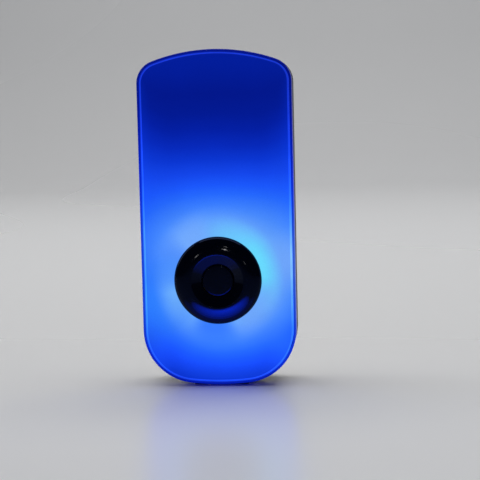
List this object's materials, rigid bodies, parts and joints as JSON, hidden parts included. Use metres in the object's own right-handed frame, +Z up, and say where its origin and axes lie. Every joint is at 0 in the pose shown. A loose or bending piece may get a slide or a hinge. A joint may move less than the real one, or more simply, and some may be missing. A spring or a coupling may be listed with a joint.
{
  "type": "bluetooth audio receiver",
  "caption": "Tall rounded desk-top bluetooth audio receiver with a blue-lit front panel, a turning volume ring, a push button in its middle, and sockets and a power switch in the back.",
  "frame": {"origin": "on the standing surface, under the middle of the part's bounding box", "axes": "+Z up along the body's height, -Y out of the lit front, +X to the right as seen from the front"},
  "size_m": [0.068, 0.0334, 0.1487],
  "materials": {
    "frosted_rim": "frosted translucent plastic that glows dark blue",
    "light_panel": "smooth diffuser lit blue from behind, brightest round the dial",
    "clear_guide": "clear acrylic light guide with a bright edge",
    "white_film": "white reflective film and white plastic",
    "led_lens": "phosphor lens",
    "gloss_black": "piano black, polished",
    "black_plastic": "fine-textured black moulding",
    "grey_plastic": "moulded grey plastic",
    "circuit_board": "green solder mask",
    "module_board": "blue solder mask",
    "chip": "moulded chip package",
    "tin": "tinned sheet steel",
    "steel": "zinc-plated steel",
    "gold": "gold-plated copper",
    "magnet": "bonded magnet",
    "foil": "aluminium laminate pouch",
    "foam": "closed-cell foam",
    "wire_red": "insulated wire",
    "wire_black": "insulated wire and ribbon",
    "silicone": "soft silicone"
  },
  "bodies": {
    "housing": {"front_bezel": "frosted_rim", "light_panel": "light_panel", "light_guide": "clear_guide", "reflector_sheet": "white_film", "led_board": "white_film", "led_1": "led_lens", "led_2": "led_lens", "led_3": "led_lens", "led_4": "led_lens", "led_5": "led_lens", "led_6": "led_lens", "led_7": "led_lens", "led_8": "led_lens", "chassis": "black_plastic", "led_cable": "wire_black", "led_connector": "grey_plastic", "button_switch": "steel", "button_guide": "grey_plastic", "main_board": "circuit_board", "encoder_sensor": "chip", "audio_codec": "chip", "charger_chip": "chip", "power_inductor": "chip", "clock_crystal": "tin", "module_board": "module_board", "module_shield": "tin", "module_antenna": "gold", "capacitor_1": "tin", "capacitor_2": "tin", "capacitor_3": "tin", "battery_pad": "foam", "battery_cell": "foil", "battery_plug": "white_film", "battery_wire_red": "wire_red", "battery_wire_black": "wire_black", "audio_jack": "black_plastic", "usb_socket": "tin", "usb_tongue": "chip", "power_switch": "tin", "rear_shell": "black_plastic", "case_screw_1": "steel", "case_screw_2": "steel", "case_screw_3": "steel", "case_screw_4": "steel", "board_screw_1": "steel", "board_screw_2": "steel", "board_screw_3": "steel", "foot_pad": "silicone"},
    "volume_dial": {"volume_ring": "gloss_black", "ring_washer": "steel", "ring_retainer": "steel", "encoder_magnet": "magnet"},
    "centre_button": {"button_cap": "gloss_black", "button_plunger": "grey_plastic"},
    "power_slider": {"power_knob": "black_plastic"}
  },
  "joints": [
    {"name": "volume_turn", "type": "hinge", "parent": "housing", "child": "volume_dial", "pos_m": [0, -0.0121, 0.0475], "axis": [0, -1, 0], "continuous": true},
    {"name": "button_press", "type": "slide", "parent": "housing", "child": "centre_button", "axis": [0, 1, 0], "range_m": [0, 0.0006], "stiffness_N_per_m": 1200, "springref_m": -0.0004},
    {"name": "power_slide", "type": "slide", "parent": "housing", "child": "power_slider", "axis": [1, 0, 0], "range_m": [0, 0.0025]}
  ]
}
